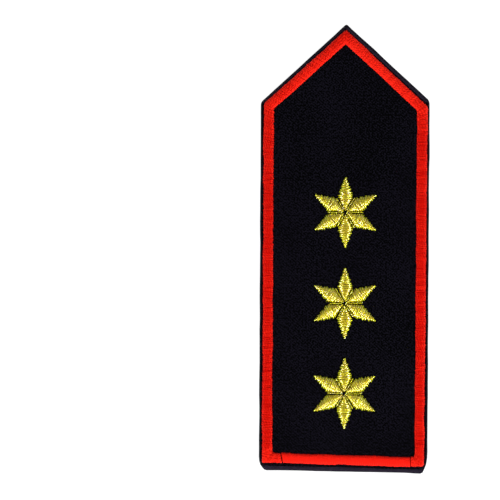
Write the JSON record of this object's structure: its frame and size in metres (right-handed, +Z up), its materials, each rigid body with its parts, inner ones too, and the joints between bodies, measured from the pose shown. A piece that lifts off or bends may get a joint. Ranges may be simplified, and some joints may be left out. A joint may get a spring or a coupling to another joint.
{
  "type": "shoulder board",
  "caption": "Slip-on uniform shoulder board: pointed black twill board with a red satin-stitched border, padded gold six-pointed stars and a flat strap pocket.",
  "frame": {"origin": "middle of the underside, halfway between the tip and the lowest corner of the lower end", "axes": "+Z up through the face, away from the garment; +Y towards the pointed end; +X to the right, seen from above"},
  "size_m": [0.05, 0.1328, 0.0058],
  "materials": {
    "black_twill": "fine black-navy worsted twill, matt, greyer on the rolled edges",
    "back_cloth": "plain woven black cloth, matt",
    "red_satin": "close red satin stitch in a shiny thread",
    "gold_thread": "padded satin stitch in metallised gold thread"
  },
  "bodies": {
    "root": {"front_panel": "black_twill", "side_margin_left": "black_twill", "side_margin_right": "black_twill", "point_margin_left": "black_twill", "point_margin_right": "black_twill", "back_panel": "back_cloth", "side_border": "red_satin", "end_border": "red_satin", "star_1_ray_1": "gold_thread", "star_1_ray_2": "gold_thread", "star_1_ray_3": "gold_thread", "star_1_ray_4": "gold_thread", "star_1_ray_5": "gold_thread", "star_1_ray_6": "gold_thread", "star_2_ray_1": "gold_thread", "star_2_ray_2": "gold_thread", "star_2_ray_3": "gold_thread", "star_2_ray_4": "gold_thread", "star_2_ray_5": "gold_thread", "star_2_ray_6": "gold_thread", "star_3_ray_1": "gold_thread", "star_3_ray_2": "gold_thread", "star_3_ray_3": "gold_thread", "star_3_ray_4": "gold_thread", "star_3_ray_5": "gold_thread", "star_3_ray_6": "gold_thread"}
  },
  "joints": []
}
